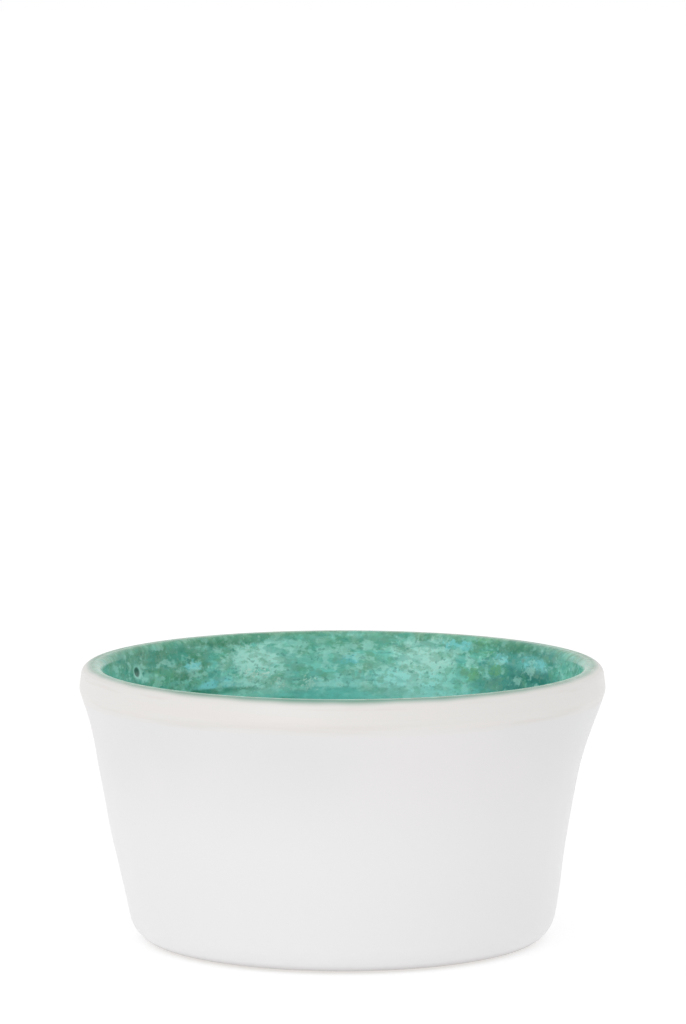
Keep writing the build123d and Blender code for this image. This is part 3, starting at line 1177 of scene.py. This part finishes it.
def studio_floor():
    """A wide disc that looks white, keeps the ramekin's soft shadow and is clear from below. It lies a
    hair under the foot ring, so that the two don't share a plane."""
    angles = np.arange(FLOOR_CORNERS) * 2 * pi / FLOOR_CORNERS
    x, y = FLOOR_RADIUS * np.cos(angles), FLOOR_RADIUS * np.sin(angles)
    points = np.column_stack((x, y, np.full(FLOOR_CORNERS, -FLOOR_DROP)))
    mesh = bpy.data.meshes.new("studio_floor")
    mesh.from_pydata(points, [], [list(range(FLOOR_CORNERS))])
    floor = added("studio_floor", mesh)
    material = bpy.data.materials.new("light_table")
    tree = emptied(material)
    white_face = put(tree, "ShaderNodeBsdfDiffuse", {"Color": (FLOOR_SHADE, FLOOR_SHADE, FLOOR_SHADE, 1)})
    glow = worked(tree, "MULTIPLY_ADD", seen_or_mirrored(tree), FLOOR_SEEN_GLOW, FLOOR_GLOW)
    light = put(tree, "ShaderNodeEmission", {"Strength": glow})
    both = put(tree, "ShaderNodeAddShader", {0: white_face.outputs[0], 1: light.outputs[0]})
    under = put(tree, "ShaderNodeNewGeometry").outputs["Backfacing"]
    clear = put(tree, "ShaderNodeBsdfTransparent")
    shown = put(tree, "ShaderNodeMixShader", {0: under, 1: both.outputs[0], 2: clear.outputs[0]})
    put(tree, "ShaderNodeOutputMaterial", {"Surface": shown.outputs[0]})
    floor.data.materials.append(material)


def studio_light():
    """An even white surround, and one large soft lamp low on the left in front."""
    world = bpy.data.worlds.new("studio")
    bpy.context.scene.world = world
    tree = emptied(world)
    lit = put(tree, "ShaderNodeBackground", {"Color": WHITE, "Strength": SURROUND_LIGHT})
    shown = put(tree, "ShaderNodeBackground", {"Color": WHITE, "Strength": 1.0})
    either = put(tree, "ShaderNodeMixShader", {
        0: seen_or_mirrored(tree), 1: lit.outputs[0], 2: shown.outputs[0]})
    put(tree, "ShaderNodeOutputWorld", {"Surface": either.outputs[0]})
    lamp = bpy.data.lights.new("softbox", "AREA")
    lamp.size = LAMP_SIZE
    lamp.energy = LAMP_POWER
    box = added("softbox", lamp)
    box.location = LAMP_PLACE
    box.rotation_euler = (Vector(LAMP_AIM) - box.location).to_track_quat("-Z", "Y").to_euler()


# The camera, at the photograph's distance and angle for its side view. The focal length, the picture's
# height and the columns of the ramekin's axis and of the picture's middle are in pixels
CAMERA_DISTANCE = 0.840
CAMERA_ELEVATION = radians(9.501)
CAMERA_TILT = radians(3.359)
CAMERA_NEAR, CAMERA_FAR = 0.01, 100.0
FOCAL_PIXELS = 4894
IMAGE_HEIGHT = 1024
AXIS_PIXEL = 342.5
MIDDLE_PIXEL = 343.0
SENSOR = 36.0


def studio_camera():
    """Looks at the ramekin from a little above, raised so that it sits low in the picture."""
    data = bpy.data.cameras.new("camera")
    data.sensor_width = SENSOR
    data.lens = SENSOR * FOCAL_PIXELS / IMAGE_HEIGHT
    data.clip_start, data.clip_end = CAMERA_NEAR, CAMERA_FAR
    camera = added("camera", data)
    pan = atan((AXIS_PIXEL - MIDDLE_PIXEL) / FOCAL_PIXELS)
    back, up = CAMERA_DISTANCE * cos(CAMERA_ELEVATION), CAMERA_DISTANCE * sin(CAMERA_ELEVATION)
    camera.location = (0, -back, HEIGHT / 2 + up)
    camera.rotation_euler = (pi / 2 - CAMERA_ELEVATION + CAMERA_TILT, 0, pan)
    bpy.context.scene.camera = camera


studio_floor()
studio_light()
studio_camera()
bpy.context.scene.view_settings.view_transform = "Standard"
